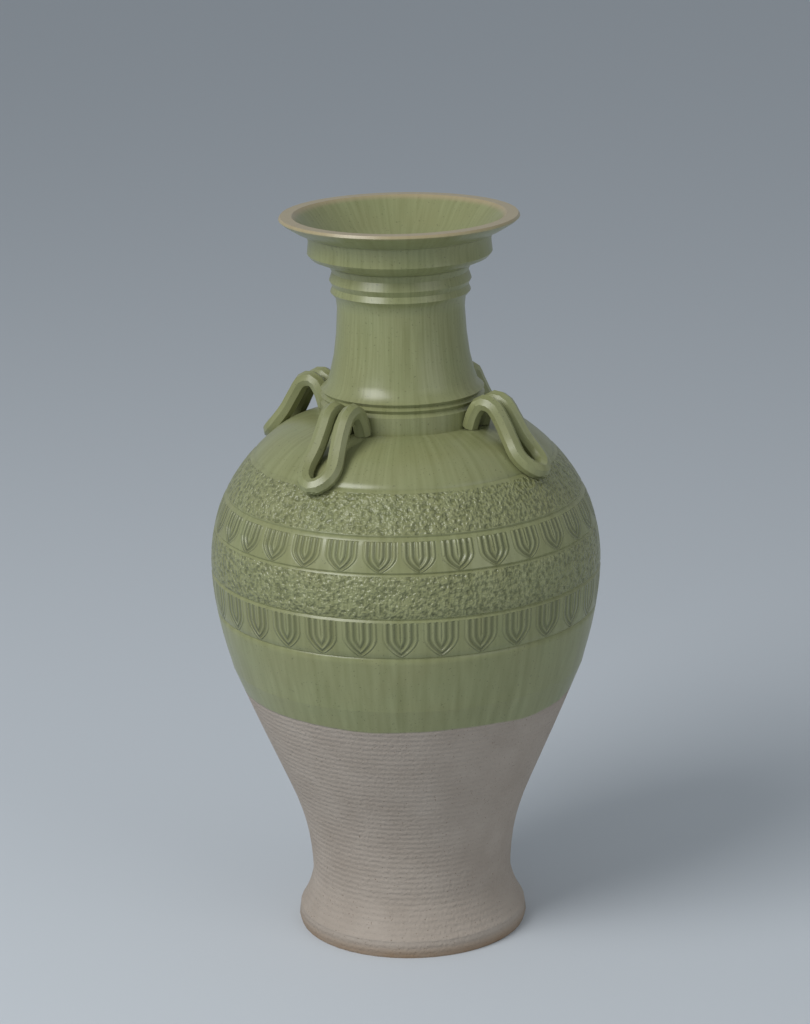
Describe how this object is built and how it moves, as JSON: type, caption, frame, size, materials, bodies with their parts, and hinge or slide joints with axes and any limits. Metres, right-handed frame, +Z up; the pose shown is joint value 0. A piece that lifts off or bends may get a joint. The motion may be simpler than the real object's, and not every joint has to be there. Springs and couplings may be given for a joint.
{
  "type": "dish-mouth vase",
  "caption": "Tall round vase with a dished mouth, ringed neck, looped shoulder lugs and a flared foot, green glazed above bare stoneware.",
  "frame": {"origin": "centre of the foot's underside", "axes": "+Z up along the vase's axis, the lugs on the X and Y axes"},
  "size_m": [0.223, 0.223, 0.42],
  "materials": {
    "bare_stoneware": "matt, unglazed",
    "green_glaze": "satin olive-green glaze"
  },
  "bodies": {
    "root": {"base_disc": "bare_stoneware", "lower_body": "bare_stoneware", "upper_body": "green_glaze", "neck": "green_glaze", "dish_mouth": "green_glaze", "lug_right": "green_glaze", "lug_back": "green_glaze", "lug_left": "green_glaze", "lug_front": "green_glaze"}
  },
  "joints": []
}
